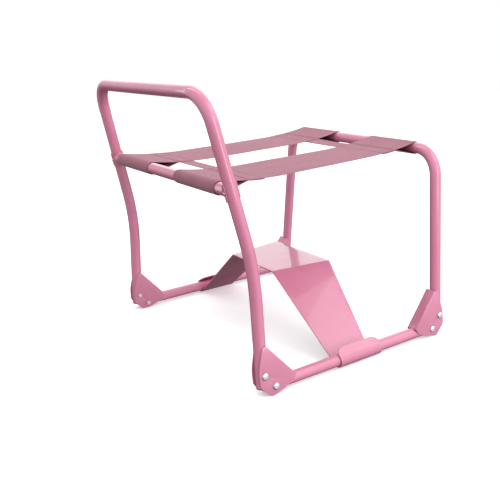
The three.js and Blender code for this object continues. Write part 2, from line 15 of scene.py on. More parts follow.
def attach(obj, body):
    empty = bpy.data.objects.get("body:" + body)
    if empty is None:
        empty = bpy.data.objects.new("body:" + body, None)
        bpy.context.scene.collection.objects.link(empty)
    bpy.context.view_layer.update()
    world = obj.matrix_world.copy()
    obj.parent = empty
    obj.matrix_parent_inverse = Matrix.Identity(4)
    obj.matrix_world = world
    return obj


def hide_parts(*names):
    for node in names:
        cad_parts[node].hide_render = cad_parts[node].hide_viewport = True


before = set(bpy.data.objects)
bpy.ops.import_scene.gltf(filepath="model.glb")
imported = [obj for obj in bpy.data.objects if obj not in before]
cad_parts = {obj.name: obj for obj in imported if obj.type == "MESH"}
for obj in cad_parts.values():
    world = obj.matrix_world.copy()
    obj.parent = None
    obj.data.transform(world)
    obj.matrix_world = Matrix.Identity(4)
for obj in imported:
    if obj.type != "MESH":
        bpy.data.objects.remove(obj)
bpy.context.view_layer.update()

MM = 0.001

# ---- Dimensions, in millimetres ------------------------------------------------------

GAP = 0.3
TUBE_RADIUS = 12.5
TUBE_WALL = 1.2
FLOOR_TUBE_Y = 308.5
FLOOR_TUBE_Z = 16.5
FLOOR_TUBE_SETBACK = 15
SPLAY = 0.088
FOOT_Z = 17
TALL_FOOT_X = -230.2
KNEE_X, KNEE_Z, KNEE_RADIUS = -219.1, 254, 600
HAND_BAR_X, HAND_BAR_Z, HAND_BAR_RADIUS = -280.5, 586.3, 62
LOW_FOOT_X = 250.2
LOW_BAR_X, LOW_BAR_Z, LOW_BAR_RADIUS = 276.6, 417.5, 60
CROSSBAR_Z = 408.9
SHEET = 2
SADDLE_HEIGHT = 34
SADDLE_HALF_ANGLE = math.radians(102)
SADDLE_SCREW_ANGLE = math.radians(82)
BRACKET_OUTLINE = [
    (10.5, 88, 5),
    (74, 12.5, 5),
    (67, -1, 8),
    (34, -13, 14),
    (13, -19.5, 4),
    (-11.5, 6, 12),
    (-11.5, 38, 20),
    (1, 86, 10),
]
CHANNEL_WIDTH = 2 * (TUBE_RADIUS + GAP + SHEET)
NOTCH_RADIUS = 12.75
BOLT_RADIUS = 3
BOLT_HEAD_RADIUS = 7.5
BOLT_HEAD_HEIGHT = 3.8
BOLT_TAIL = 7.5
NUT_RADIUS = 5.8
NUT_HEIGHT = 5
LEG_BOLT_HEIGHT = 27
FLOOR_BOLT_INSET = 24
SCREW_RADIUS = 1.6
SCREW_HEAD_RADIUS = 3.4
SCREW_HEAD_HEIGHT = 1.8
SCREW_LENGTH = 6
STRAP_INNER = 65
STRAP_OUTER_CROSSBAR = 237
STRAP_OUTER_LOW_BAR = 217.5
SLING_Y = 5.5
LOOP_JOIN = 64
BAND_START, BAND_WIDTH = 68, 35
PLATE_THICKNESS = 2.2
PLATE_CLEARANCE = 1.5
PLATE_TOP_Z = 163.1
PLATE_FOLD_RADIUS = 6
PLATE_LEFT = {"fold_x": -51, "fold_y": 89, "tube_x": -40, "hook_x": -40}
PLATE_RIGHT = {"fold_x": 96, "fold_y": 111, "tube_x": 58, "hook_x": 72}
FLAP_LENGTH = 20
FLAP_CORNER = 18
SIDES = ((-1, "near"), (1, "far"))


def new_object(name, data):
    thing = bpy.data.objects.new(name, data)
    bpy.context.scene.collection.objects.link(thing)
    return thing


# ---- Camera --------------------------------------------------------------------------

CAMERA_PLACE = (-868.954, -1372.383, 675.676)
CAMERA_TURNS = (-33.633, 18.479, -2.776)  # degrees of azimuth, elevation and roll
FOCAL_PIXELS, MIDDLE_X, MIDDLE_Y = 700.448, 285.198, 268.982
FRAME_PIXELS, SENSOR = 500, 36


def make_camera():
    turn, lift, roll = (math.radians(a) for a in CAMERA_TURNS)
    flat = math.cos(lift)
    back = Vector((math.sin(turn) * flat, -math.cos(turn) * flat, math.sin(lift)))
    level = Vector((0, 0, 1)).cross(back).normalized()
    upright = back.cross(level)
    right = math.cos(roll) * level + math.sin(roll) * upright
    up = -math.sin(roll) * level + math.cos(roll) * upright
    data = bpy.data.cameras.new("camera")
    data.sensor_width = SENSOR
    data.lens = FOCAL_PIXELS * SENSOR / FRAME_PIXELS
    data.shift_x = (FRAME_PIXELS / 2 - MIDDLE_X) / FRAME_PIXELS
    data.shift_y = (MIDDLE_Y - FRAME_PIXELS / 2) / FRAME_PIXELS
    data.clip_start, data.clip_end = 0.05, 20
    camera = new_object("camera", data)
    camera.matrix_world = Matrix.Translation(Vector(CAMERA_PLACE) * MM) @ (
        Matrix((right, up, back)).transposed().to_4x4()
    )
    bpy.context.scene.camera = camera


make_camera()

# ---- Materials -----------------------------------------------------------------------


class Shader:
    """The nodes of a material or the world; an input takes a value or an output."""

    def __init__(self, owner, surface="Principled BSDF"):
        owner.use_nodes = True
        self.owner = owner
        self.tree = owner.node_tree
        self.surface = self.tree.nodes[surface]
        self.coordinates = self.add("ShaderNodeTexCoord", {}).outputs
        self.place = self.coordinates["Object"]

    def drive(self, socket, value):
        if isinstance(value, bpy.types.NodeSocket):
            self.tree.links.new(value, socket)
        else:
            socket.default_value = value

    def add(self, kind, inputs, **settings):
        node = self.tree.nodes.new(kind)
        for key, value in settings.items():
            setattr(node, key, value)
        for key, value in inputs.items():
            self.drive(node.inputs[key], value)
        return node

    def set(self, **inputs):
        for name, value in inputs.items():
            self.drive(self.surface.inputs[name.replace("_", " ")], value)

    def scaled(self, source, scale):
        inputs = {"Vector": source, "Scale": scale}
        return self.add("ShaderNodeMapping", inputs).outputs["Vector"]

    def noise(self, source, scale, detail=3.0, roughness=0.55):
        inputs = {"Vector": source, "Scale": scale, "Detail": detail}
        inputs["Roughness"] = roughness
        return self.add("ShaderNodeTexNoise", inputs).outputs["Fac"]

    def wave(self, source, scale, direction, distortion=0.0):
        inputs = {"Vector": source, "Scale": scale, "Distortion": distortion}
        way = {"wave_type": "BANDS", "bands_direction": direction}
        return self.add("ShaderNodeTexWave", inputs, **way).outputs["Fac"]

    def math(self, operation, first, second):
        inputs = {0: first, 1: second}
        return self.add("ShaderNodeMath", inputs, operation=operation).outputs[0]

    def ramp(self, source, *stops):
        node = self.add("ShaderNodeValToRGB", {"Fac": source})
        for element, (position, colour) in zip(node.color_ramp.elements, stops):
            element.position = position
            element.color = (*colour, 1)
        return node.outputs["Color"]

    def spread(self, source, low, high, start=0, end=1, blend="LINEAR"):
        inputs = {"Value": source, "To Min": low, "To Max": high}
        inputs |= {"From Min": start, "From Max": end}
        node = self.add("ShaderNodeMapRange", inputs, interpolation_type=blend)
        return node.outputs["Result"]

    def bump(self, height, strength, distance, below=None):
        inputs = {"Height": height, "Strength": strength, "Distance": distance}
        if below is not None:
            inputs["Normal"] = below
        return self.add("ShaderNodeBump", inputs).outputs["Normal"]


def new_material(name):
    return Shader(bpy.data.materials.new(name))


def paint_material(name, light, dark, orange_peel):
    """Gloss powder coat: faint colour drift, orange peel, and fine rub marks."""
    s = new_material(name)
    rubs = s.noise(s.scaled(s.place, (30, 260, 260)), 1.0, 5, 0.62)
    wear = s.math("ADD", s.math("MULTIPLY", rubs, 0.5), s.noise(s.place, 55, 4))
    peel = s.bump(s.noise(s.place, 420, 2, 0.4), orange_peel, 0.0004)
    s.set(
        Base_Color=s.ramp(s.noise(s.place, 9, 4), (0.32, dark), (0.68, light)),
        Roughness=s.spread(wear, 0.2, 0.36),
        Normal=s.bump(s.noise(s.place, 38, 2, 0.4), 0.05, 0.0012, peel),
        Coat_Weight=0.8,
        Coat_Roughness=0.05,
        IOR=1.5,
    )
    return s.owner


def webbing_material(name, light, dark):
    """Flat elastic webbing: lengthwise ribs, crosswise picks, fuzz and sheen."""
    s = new_material(name)
    cloth = s.add("ShaderNodeUVMap", {}, uv_map="cloth").outputs["UV"]
    ribs = s.wave(s.scaled(cloth, (0, 1, 0)), 95, "Y")
    picks = s.wave(s.scaled(cloth, (1, 0.12, 0)), 150, "X", 0.6)
    picks = s.math("ADD", s.math("MULTIPLY", picks, 0.6), 0.4)
    weave = s.math("MULTIPLY", ribs, picks)
    fuzz = s.noise(s.place, 900, 2)
    patch = s.noise(s.scaled(cloth, (7, 22, 1)), 1.0, 4)
    tone = s.math("MULTIPLY", weave, 0.30)
    for layer, share in ((patch, 0.55), (fuzz, 0.2)):
        tone = s.math("ADD", tone, s.math("MULTIPLY", layer, share))
    s.set(
        Base_Color=s.ramp(tone, (0.25, dark), (0.75, light)),
        Roughness=s.spread(fuzz, 0.8, 0.98),
        Normal=s.bump(fuzz, 0.25, 0.0002, s.bump(weave, 0.5, 0.00035)),
        Sheen_Weight=0.18,
        Sheen_Roughness=0.4,
        Sheen_Tint=(1.0, 0.78, 0.86, 1),
        Specular_IOR_Level=0.2,
    )
    return s.owner


def steel_material():
    """Zinc-plated steel with a fine turned grain."""
    s = new_material("zinc_plate")
    cloud = s.noise(s.place, 260, 4)
    s.set(
        Base_Color=s.ramp(cloud, (0.3, (0.62, 0.62, 0.64)), (0.7, (0.88, 0.88, 0.89))),
        Roughness=s.spread(s.noise(s.place, 700, 3), 0.14, 0.34),
        Normal=s.bump(s.noise(s.place, 1500, 2), 0.12, 0.0001),
        Metallic=1.0,
    )
    return s.owner


def plastic_material():
    """Moulded polythene with a fine grain."""
    s = new_material("moulded_plug")
    cloud = s.noise(s.place, 120, 3)
    s.set(
        Base_Color=s.ramp(cloud, (0.3, (0.14, 0.035, 0.07)), (0.7, (0.2, 0.055, 0.1))),
        Roughness=s.spread(cloud, 0.45, 0.65),
        Normal=s.bump(s.noise(s.place, 1400, 2), 0.3, 0.00015),
    )
    return s.owner


# Each finish is a material and the name of a slot; only the material is used.
TUBE_PAINT = (
    paint_material("tube_paint", (0.66, 0.215, 0.335), (0.60, 0.185, 0.295), 0.10),
    "painted_tube",
)
SHEET_PAINT = (
    paint_material("sheet_paint", (0.62, 0.20, 0.31), (0.57, 0.175, 0.28), 0.12),
    "painted_sheet",
)
WEBBING = (
    webbing_material("elastic_webbing", (0.37, 0.165, 0.205), (0.29, 0.12, 0.155)),
    "elastic_webbing",
)
THREAD = (
    webbing_material("sewing_thread", (0.45, 0.21, 0.26), (0.35, 0.15, 0.19)),
    "elastic_webbing",
)
ZINC = (steel_material(), "zinc_steel")
PLASTIC = (plastic_material(), "plug_plastic")

# ---- Mesh helpers --------------------------------------------------------------------

BEVEL_ANGLE = math.radians(50)  # only edges sharper than this are rounded


def new_mesh(vertices, faces, scale=MM):
    """A mesh from points in millimetres."""
    mesh = bpy.data.meshes.new("mesh")
    mesh.from_pydata([[float(c) * scale for c in v] for v in vertices], [], faces)
    return mesh


def clean(mesh, distance=1e-6):
    """Merges points that coincide and turns the faces outwards."""
    build = bmesh.new()
    build.from_mesh(mesh)
    bmesh.ops.remove_doubles(build, verts=build.verts, dist=distance)
    bmesh.ops.recalc_face_normals(build, faces=build.faces)
    build.to_mesh(mesh)
    build.free()


def add_piece(name, mesh, finish, smooth, body):
    """A piece that rides on a body; edges sharper than smooth degrees stay sharp."""
    material, slot = finish
    clean(mesh)
    mesh.polygons.foreach_set("use_smooth", [True] * len(mesh.polygons))
    mesh.set_sharp_from_angle(angle=math.radians(smooth))
    mesh.materials.append(material)
    piece = new_object(name, mesh)
    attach(piece, body)
    return piece


def stand_in(node, form, mesh, finish, smooth, body="frame"):
    """A piece that replaces a node of the frame."""
    piece = add_piece(f"{node}_{form}", mesh, finish, smooth, body)
    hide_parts(node)
    return piece


def applied(work, tools=()):
    """An object's mesh with its modifiers applied; the object and its tools go."""
    graph = bpy.context.evaluated_depsgraph_get()
    result = bpy.data.meshes.new_from_object(work.evaluated_get(graph))
    for spare in (work, *tools):
        data = spare.data
        bpy.data.objects.remove(spare)
        bpy.data.meshes.remove(data)
    return result


def bevelled(vertices, faces, width, segments=3, cutters=()):
    """A mesh with its sharp edges rounded, after cutters are taken out of it."""
    work = new_object("shape", new_mesh(vertices, faces))
    clean(work.data)
    tools = []
    for cutter in cutters:
        tool = new_object("cutter", new_mesh(*cutter))
        clean(tool.data)
        cut = work.modifiers.new("cut", "BOOLEAN")
        cut.operation, cut.solver, cut.object = "DIFFERENCE", "EXACT", tool
        tools.append(tool)
    if width:
        bevel = work.modifiers.new("bevel", "BEVEL")
        bevel.width, bevel.segments = width * MM, segments
        bevel.limit_method, bevel.angle_limit = "ANGLE", BEVEL_ANGLE
    return applied(work, tools)


def grid_faces(rows, columns, closed=False, start=0, flip=False):
    """Quads over a grid; closed joins its last row and column to the first ones."""
    faces = []
    for i in range(rows if closed else rows - 1):
        here, above = (start + row % rows * columns for row in (i, i + 1))
        for j in range(columns if closed else columns - 1):
            n = (j + 1) % columns
            quad = (here + j, here + n, above + n, above + j)
            faces.append(quad[::-1] if flip else quad)
    return faces


def closed_rings(rings):
    """A closed shape through rings of points, its last ring joined to the first."""
    faces = grid_faces(len(rings), len(rings[0]), closed=True)
    return [point for ring in rings for point in ring], faces


def thick_sheet(points, normals, thickness):
    """A closed sheet either side of a grid of middle points."""
    rows, columns = points.shape[:2]
    count = rows * columns
    half = normals * thickness / 2
    faces = grid_faces(rows, columns)
    faces += grid_faces(rows, columns, start=count, flip=True)
    rim = list(range(columns))
    rim += range(2 * columns - 1, count, columns)
    rim += range(count - 2, count - columns - 1, -1)
    rim += range(count - 2 * columns, 0, -columns)
    for a, b in zip(rim, rim[1:] + rim[:1]):
        faces.append((b, a, a + count, b + count))
    both = [side.reshape(-1, 3) for side in (points + half, points - half)]
    return np.vstack(both), faces


def turns(count):
    """Evenly spaced angles around a full turn."""
    return [2 * math.pi * k / count for k in range(count)]


def quarter_turn(steps):
    """Evenly spaced angles from zero to a right angle."""
    return [math.pi / 2 * k / steps for k in range(steps + 1)]


def circle(radius, height, sides):
    return [(radius * math.cos(a), radius * math.sin(a), height) for a in turns(sides)]


def lathe(profile, sides):
    """A closed turned shape about Z from points (radius, height); radius 0 is a pole."""
    vertices, rings, faces = [], [], []
    for radius, height in profile:
        points = circle(radius, height, sides) if radius else [(0, 0, height)]
        rings.append(range(len(vertices), len(vertices) + len(points)))
        vertices += points
    for low, high in zip(rings, rings[1:]):
        for k in range(sides):
            n = (k + 1) % sides
            if len(low) == 1:
                faces.append((low[0], high[n], high[k]))
            elif len(high) == 1:
                faces.append((low[k], low[n], high[0]))
            else:
                faces.append((low[k], low[n], high[n], high[k]))
    return vertices, faces


def placed(vertices, matrix):
    return [matrix @ Vector(v) for v in vertices]


# ---- Positions on the frame ----------------------------------------------------------


def leg_y(z):
    return FLOOR_TUBE_Y - SPLAY * (z - FLOOR_TUBE_Z)


def tall_leg(side, z):
    return Vector((TALL_FOOT_X + (KNEE_X - TALL_FOOT_X) * z / KNEE_Z, side * leg_y(z), z))


def low_leg(side, z):
    x = LOW_FOOT_X + (LOW_BAR_X - LOW_FOOT_X) * z / LOW_BAR_Z
    return Vector((x, side * leg_y(z), z))


def upper_leg(side, z):
    share = (z - KNEE_Z) / (HAND_BAR_Z - KNEE_Z)
    return Vector((KNEE_X + (HAND_BAR_X - KNEE_X) * share, side * leg_y(z), z))


CROSSBAR_X = upper_leg(1, CROSSBAR_Z).x
SLING_SPAN = math.hypot(LOW_BAR_X - CROSSBAR_X, LOW_BAR_Z - CROSSBAR_Z)
SLING_TILT = math.atan2(LOW_BAR_Z - CROSSBAR_Z, LOW_BAR_X - CROSSBAR_X)
LEAN = math.atan(SPLAY)


def axis_matrix(point, direction):
    turn = Vector((0, 0, 1)).rotation_difference(direction.normalized())
    return Matrix.Translation(point) @ turn.to_matrix().to_4x4()


CORNERS = []
for side_sign, side_name in SIDES:
    for end_name, inward_sign, leg in (("tall", 1, tall_leg), ("low", -1, low_leg)):
        foot = leg(side_sign, FLOOR_TUBE_Z)
        CORNERS.append(
            {
                "name": f"{end_name}_{side_name}",
                "side": side_sign,
                "inboard": inward_sign,
                "leg": leg,
                "foot": foot,
                "matrix": Matrix.Translation(foot)
                @ Matrix.Rotation(side_sign * LEAN, 4, "X"),
            }
        )


def bolt_matrices(corner):
    place = corner["matrix"]
    leg_z = FLOOR_TUBE_Z + LEG_BOLT_HEIGHT
    leg_x = corner["leg"](corner["side"], leg_z).x - corner["foot"].x
    outward = place.to_3x3() @ Vector((0, corner["side"], 0))
    seats = {
        "leg_bolt": (leg_x, LEG_BOLT_HEIGHT),
        "floor_bolt": (corner["inboard"] * FLOOR_BOLT_INSET, 0),
    }
    face = corner["side"] * CHANNEL_WIDTH / 2
    return {
        kind: axis_matrix(place @ Vector((x, face, z)), outward)
        for kind, (x, z) in seats.items()
    }


def saddle_matrix(side):
    origin = upper_leg(side, CROSSBAR_Z)
    up = (upper_leg(side, HAND_BAR_Z) - origin).normalized()
    inward = Vector((0, -side, 0))
    inward = (inward - inward.dot(up) * up).normalized()
    across = up.cross(inward)
    return Matrix.Translation(origin) @ Matrix((inward, across, up)).transposed().to_4x4()


# ---- Tubes ---------------------------------------------------------------------------

TUBE_SIDES = 56
BEND_STEP = math.radians(4)
CUT_RIM = 0.4  # rounding of a tube's cut end
BEAD_LENGTH, BEAD_HEIGHT, BEAD_STEPS = 3.2, 1.5, 8
BEAD_RIPPLE, BEAD_RIPPLES = 0.012, 21


def bent_line(points, radii):
    """Stations (point, direction) along straight runs with a round bend at each corner."""
    first = (points[1] - points[0]).normalized()
    stations = [(points[0], first)]
    for i in range(1, len(points) - 1):
        before = (points[i] - points[i - 1]).normalized()
        after = (points[i + 1] - points[i]).normalized()
        turn = before.angle(after)
        axis = before.cross(after).normalized()
        radius = radii[i - 1]
        start = points[i] - before * radius * math.tan(turn / 2)
        to_centre = axis.cross(before)
        centre = start + to_centre * radius
        steps = max(6, math.ceil(turn / BEND_STEP))
        for k in range(steps + 1):
            spin = Matrix.Rotation(turn * k / steps, 3, axis)
            stations.append((centre - spin @ (to_centre * radius), spin @ before))
    stations.append((points[-1], (points[-1] - points[-2]).normalized()))
    return stations


def with_end_rings(stations, inset):
    """Adds a station a little in from each end, for the rounded rim of the cut."""
    (start, start_way), (end, end_way) = stations[0], stations[-1]
    first = (start + start_way * inset, start_way)
    last = (end - end_way * inset, end_way)
    return [stations[0], first, *stations[1:-1], last, stations[-1]]


def tube_rings(stations, radii):
    """Rings of points around a line, carried along it without twisting."""
    way = stations[0][1]
    side = way.orthogonal().normalized()
    rings = []
    for (point, tangent), radius in zip(stations, radii):
        side = way.rotation_difference(tangent) @ side
        side = (side - side.dot(tangent) * tangent).normalized()
        other = tangent.cross(side)
        way = tangent
        spokes = [math.cos(a) * side + math.sin(a) * other for a in turns(TUBE_SIDES)]
        rings.append([point + radius * spoke for spoke in spokes])
    return rings


def add_tube(name, stations):
    """An open tube with a wall, its cut ends slightly rounded."""
    stations = with_end_rings(stations, CUT_RIM)
    radii = [TUBE_RADIUS] * len(stations)
    radii[0] = radii[-1] = TUBE_RADIUS - CUT_RIM
    rings = tube_rings(stations, radii)
    rings += tube_rings(stations, [TUBE_RADIUS - TUBE_WALL] * len(stations))[::-1]
    stand_in(name, "bent", new_mesh(*closed_rings(rings)), TUBE_PAINT, 40)


def add_tubes():
    tall = [tall_leg(-1, FOOT_Z), tall_leg(-1, KNEE_Z), upper_leg(-1, HAND_BAR_Z)]
    tall += [upper_leg(1, HAND_BAR_Z), tall_leg(1, KNEE_Z), tall_leg(1, FOOT_Z)]
    bends = [KNEE_RADIUS, HAND_BAR_RADIUS, HAND_BAR_RADIUS, KNEE_RADIUS]
    add_tube("tall_hoop", bent_line(tall, bends))
    low = [low_leg(-1, FOOT_Z), low_leg(-1, LOW_BAR_Z)]
    low += [low_leg(1, LOW_BAR_Z), low_leg(1, FOOT_Z)]
    add_tube("low_hoop", bent_line(low, [LOW_BAR_RADIUS, LOW_BAR_RADIUS]))
    setback = Vector((FLOOR_TUBE_SETBACK, 0, 0))
    for side, name in SIDES:
        start, end = tall_leg(side, FLOOR_TUBE_Z), low_leg(side, FLOOR_TUBE_Z)
        add_tube(f"floor_tube_{name}", bent_line([start + setback, end - setback], []))


def cope_offset(point, way, side, radius):
    """Distance from a point along a direction to a cylinder around the hoop's leg."""
    frame_of_leg = saddle_matrix(side)
    origin, up = frame_of_leg.translation, frame_of_leg.col[2].to_3d()
    a = point - origin
    a = a - a.dot(up) * up
    b = way - way.dot(up) * up
    half = a.dot(b) / b.length_squared
    rest = (a.length_squared - radius**2) / b.length_squared
    return -half - math.sqrt(max(0.0, half**2 - rest))


def add_crossbar():
    """A straight tube whose coped ends are welded to the saddles with a small bead."""
    ends = [upper_leg(side, CROSSBAR_Z) for side in (-1, 1)]
    way = (ends[1] - ends[0]).normalized()
    middle = (ends[0] + ends[1]) / 2
    cope = TUBE_RADIUS + GAP + SHEET
    foot = TUBE_RADIUS + 0.4
    profile = [(TUBE_RADIUS - TUBE_WALL, 0.0), (foot, 0.0)]
    for k in range(1, BEAD_STEPS):
        swell = BEAD_HEIGHT * math.sin(math.pi * k / BEAD_STEPS) ** 0.7
        profile.append((foot + swell, BEAD_LENGTH * k / BEAD_STEPS))
    profile += [(TUBE_RADIUS, BEAD_LENGTH + inset) for inset in (0, 2, 20)]

    def ring(radius, inset, side):
        points = []
        for angle in turns(TUBE_SIDES):
            ripple = 1.0
            if TUBE_RADIUS < radius:
                ripple += BEAD_RIPPLE * math.sin(BEAD_RIPPLES * angle + 3 * side)
            spoke = Vector((math.cos(angle), 0, math.sin(angle)))
            start = middle + radius * ripple * spoke
            reach = cope_offset(start, side * way, side, cope)
            points.append(start + side * way * (reach - inset))
        return points

    rings = [ring(radius, inset, -1) for radius, inset in profile]
    rings += [ring(radius, inset, 1) for radius, inset in profile[::-1]]
    stand_in("crossbar", "welded", new_mesh(*closed_rings(rings)), TUBE_PAINT, 45)


def add_saddles():
    """Curved plates around the inner half of each leg, with rounded corners."""
    radius = TUBE_RADIUS + GAP + SHEET / 2
    half_height, corner = SADDLE_HEIGHT / 2, 5
    straight, columns = half_height - corner, 40
    tops = [straight + corner * math.sin(angle) for angle in quarter_turn(6)]
    heights = [-z for z in tops[::-1]] + tops
    for side, name in SIDES:
        points = np.zeros((len(heights), columns, 3))
        normals = np.zeros_like(points)
        for i, z in enumerate(heights):
            over = max(0.0, abs(z) - straight)
            short = corner - math.sqrt(max(0.0, corner**2 - over**2))
            reach = SADDLE_HALF_ANGLE - short / radius
            for j in range(columns):
                angle = -reach + 2 * reach * j / (columns - 1)
                normals[i, j] = (math.cos(angle), math.sin(angle), 0)
                points[i, j] = radius * normals[i, j] + (0, 0, z)
        vertices, faces = thick_sheet(points, normals, SHEET)
        mesh = bevelled(placed(vertices, saddle_matrix(side)), faces, 0.45)
        stand_in(f"crossbar_saddle_{name}", "pressed", mesh, SHEET_PAINT, 40)


# ---- Brackets ------------------------------------------------------------------------


def rounded_outline(outline, steps=8):
    points = []
    count = len(outline)
    for i, (x, z, radius) in enumerate(outline):
        here = Vector((x, z))
        before = Vector(outline[i - 1][:2])
        after = Vector(outline[(i + 1) % count][:2])
        start = here + (before - here).normalized() * radius / 2
        end = here + (after - here).normalized() * radius / 2
        for k in range(steps + 1):
            t = k / steps
            points.append((1 - t) ** 2 * start + 2 * t * (1 - t) * here + t**2 * end)
    return points


def clipped(points, depth_of, depth):
    """The part of an outline at least a depth in from the web, and its two cut points."""
    kept = []
    count = len(points)
    for i in range(count):
        a, b = points[i], points[(i + 1) % count]
        da, db = depth_of(a) - depth, depth_of(b) - depth
        if da >= 0:
            kept.append(a)
        if (da < 0) != (db < 0):
            kept.append(a.lerp(b, da / (da - db)))
    return kept


def cylinder(radius, start, end, sides=64):
    way = end - start
    profile = [(0, 0), (radius, 0), (radius, way.length), (0, way.length)]
    vertices, faces = lathe(profile, sides)
    return placed(vertices, axis_matrix(start, way)), faces


def block(low, high):
    x0, y0, z0 = low
    x1, y1, z1 = high
    vertices = [Vector((x, y, z)) for z in (z0, z1) for y in (y0, y1) for x in (x0, x1)]
    faces = [(0, 2, 3, 1), (4, 5, 7, 6), (0, 1, 5, 4)]
    faces += [(2, 6, 7, 3), (0, 4, 6, 2), (1, 3, 7, 5)]
    return vertices, faces


def bracket_shell():
    """Middle surface of the channel: two flanges, two bends and the web."""
    crown, toe = Vector(BRACKET_OUTLINE[0][:2]), Vector(BRACKET_OUTLINE[1][:2])
    along = (toe - crown).normalized()
    inward = Vector((along.y, -along.x))
    outline = rounded_outline(BRACKET_OUTLINE)

    def depth_of(point):
        return (point - crown).dot(inward)

    bend = 2.6
    half = CHANNEL_WIDTH / 2 - SHEET / 2
    web_depth = SHEET / 2
    flange = clipped(outline, depth_of, web_depth + bend)
    stations = []
    for angle in quarter_turn(6):
        depth = web_depth + bend - bend * math.sin(angle)
        cut = clipped(outline, depth_of, depth)
        level = [p for p in cut if abs(depth_of(p) - depth) < 1e-3]
        level.sort(key=lambda p: (p - crown).dot(along))
        stations.append((level[0], level[-1], half - bend + bend * math.cos(angle)))
    stations += [(a, b, -y) for a, b, y in stations[::-1]]
    vertices, faces = [], []
    for sign in (1, -1):
        start = len(vertices)
        vertices += [Vector((p.x, sign * half, p.y)) for p in flange]
        loop = list(range(start, len(vertices)))
        faces.append(loop if sign > 0 else loop[::-1])
    start = len(vertices)
    for a, b, y in stations:
        vertices += [Vector((a.x, y, a.y)), Vector((b.x, y, b.y))]
    for k in range(len(stations) - 1):
        i = start + 2 * k
        faces.append((i, i + 1, i + 3, i + 2))
    return vertices, faces


def solid_shell(vertices, faces):
    """Gives a middle surface its gauge, evenly to both sides."""
    work = new_object("shell", new_mesh(vertices, faces, 1))
    clean(work.data, 1e-4)
    thicken = work.modifiers.new("thicken", "SOLIDIFY")
    thicken.thickness, thicken.offset, thicken.use_even_offset = SHEET, 0, True
    result = applied(work)
    points = [v.co.copy() for v in result.vertices]
    sides = [tuple(p.vertices) for p in result.polygons]
    bpy.data.meshes.remove(result)
    return points, sides


def add_brackets():
    points, faces = solid_shell(*bracket_shell())
    reach = 150  # half the length of the cutters, which is more than a bracket's size
    for corner in CORNERS:
        turn = Matrix.Rotation(math.pi if corner["inboard"] < 0 else 0, 4, "Z")
        vertices = placed(points, corner["matrix"] @ turn)
        side, leg, foot = corner["side"], corner["leg"], corner["foot"]
        along = Vector((reach, 0, 0))
        cutters = [
            cylinder(NOTCH_RADIUS, leg(side, -60), leg(side, 200)),
            cylinder(NOTCH_RADIUS, foot - along, foot + along),
            block((foot.x - reach, foot.y - 60, -60), (foot.x + reach, foot.y + 60, 0)),
        ]
        for matrix in bolt_matrices(corner).values():
            low, high = (matrix @ Vector((0, 0, z)) for z in (-CHANNEL_WIDTH - 2, 2))
            cutters.append(cylinder(BOLT_RADIUS + GAP, low, high, 32))
        mesh = bevelled(vertices, faces, 0.4, 2, cutters)
        stand_in(f"bracket_{corner['name']}", "pressed", mesh, SHEET_PAINT, 35)


# ---- Bolts, nuts, screws and plugs ---------------------------------------------------


def dome(radius, height, base, steps):
    """Profile of a domed head from its seat to the pole, with a rounded rim."""
    rim = 0.3 * height
    points = [(radius - 0.35, base), (radius - 0.08, base + 0.1), (radius, base + 0.4)]
    points.append((radius, base + rim))
    for angle in quarter_turn(steps)[1:-1]:
        rise = rim + (height - rim) * math.sin(angle)
        points.append((radius * math.cos(angle), base + rise))
    points.append((0, base + height))
    return points


def threaded_shank(radius, depth, top, low):
    """Profile rings for a thread from low to top, as shallow even grooves."""
    pitch = 1.0
    points = []
    z = low
    while z < top:
        points += [(radius - depth, z), (radius, z + pitch / 2)]
        z += pitch
    return points


def add_bolts():
    shank = CHANNEL_WIDTH + BOLT_TAIL
    profile = [(0, -shank), (BOLT_RADIUS - 0.7, -shank)]
    profile += threaded_shank(BOLT_RADIUS, 0.35, -shank + 13, -shank + 0.6)
    profile += [(BOLT_RADIUS, -shank + 13.6), (BOLT_RADIUS, GAP)]
    profile += dome(BOLT_HEAD_RADIUS, BOLT_HEAD_HEIGHT, GAP, 12)
    shapes = (("", "domed", 42, lathe(profile, 40)), ("_nut", "chamfered", 30, nut()))
    for corner in CORNERS:
        for kind, matrix in bolt_matrices(corner).items():
            for part, form, smooth, (vertices, faces) in shapes:
                mesh = new_mesh(placed(vertices, matrix), faces)
                stand_in(f"{kind}{part}_{corner['name']}", form, mesh, ZINC, smooth)


def nut():
    """A hexagon nut with chamfered corners and a countersunk bore."""
    base, bore, sides = -CHANNEL_WIDTH - GAP - NUT_HEIGHT, BOLT_RADIUS + 0.1, 72
    chamfer, countersink = 0.9, 0.5
    flat = NUT_RADIUS * math.cos(math.pi / 6)
    hexagon = []
    for angle in turns(sides):
        off_flat = (angle + math.pi / 6) % (math.pi / 3) - math.pi / 6
        hexagon.append((math.cos(angle), math.sin(angle), flat / math.cos(off_flat)))
    top, face, mouth = base + NUT_HEIGHT, flat - 0.05, bore + countersink
    rings = [circle(face, base, sides)]
    for level in (base + chamfer, top - chamfer):
        rings.append([(radius * c, radius * s, level) for c, s, radius in hexagon])
    rings += [circle(face, top, sides), circle(mouth, top, sides)]
    rings += [circle(bore, z, sides) for z in (top - countersink, base + countersink)]
    rings.append(circle(mouth, base, sides))
    return closed_rings(rings)


